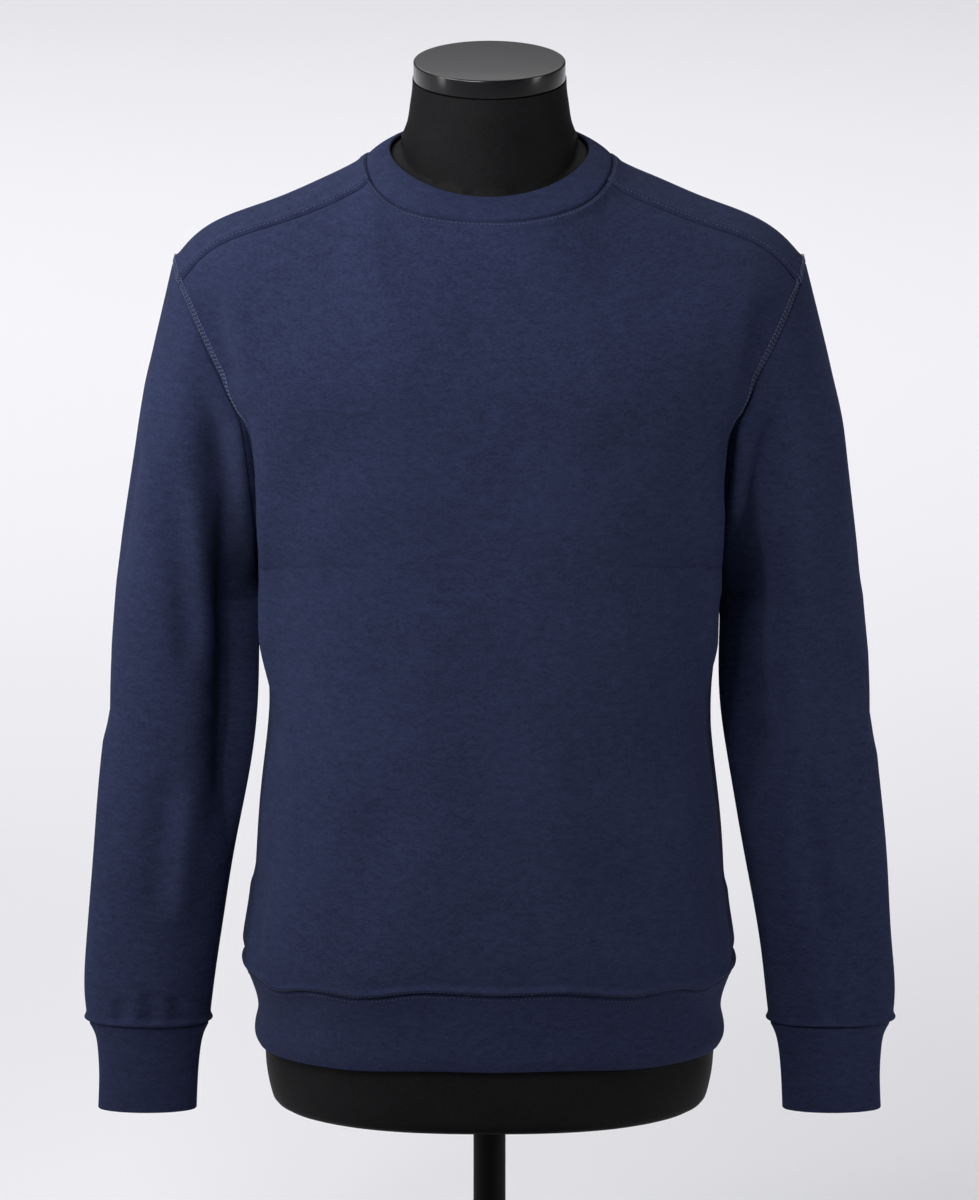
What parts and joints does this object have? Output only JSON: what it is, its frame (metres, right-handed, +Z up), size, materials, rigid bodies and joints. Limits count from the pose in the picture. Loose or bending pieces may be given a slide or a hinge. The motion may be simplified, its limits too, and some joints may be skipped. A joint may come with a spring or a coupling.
{
  "type": "crewneck sweatshirt on a dress form",
  "caption": "Plain navy crewneck sweatshirt with folded collar, cuffs and hem band, worn on a limbless black dress form on a round counter stand.",
  "frame": {"origin": "on the surface that the stand rests on, under the middle of the stand's plate", "axes": "+Z up, -Y towards the front of the sweatshirt, +X towards the wearer's left"},
  "size_m": [0.6252, 0.34, 1.025],
  "materials": {
    "fleece": "matte brushed-back jersey",
    "rib": "matte fine rib, folded",
    "form_cover": "stretched black jersey",
    "cap": "glossy black side, satin top",
    "stand": "black powder coat"
  },
  "bodies": {
    "root": {"front": "fleece", "back": "fleece", "sleeve_left": "fleece", "sleeve_right": "fleece", "collar": "rib", "hem_band": "rib", "cuff_left": "rib", "cuff_right": "rib", "form_torso": "form_cover", "form_neck_cap": "cap", "stand_pole": "stand", "stand_base": "stand"}
  },
  "joints": []
}
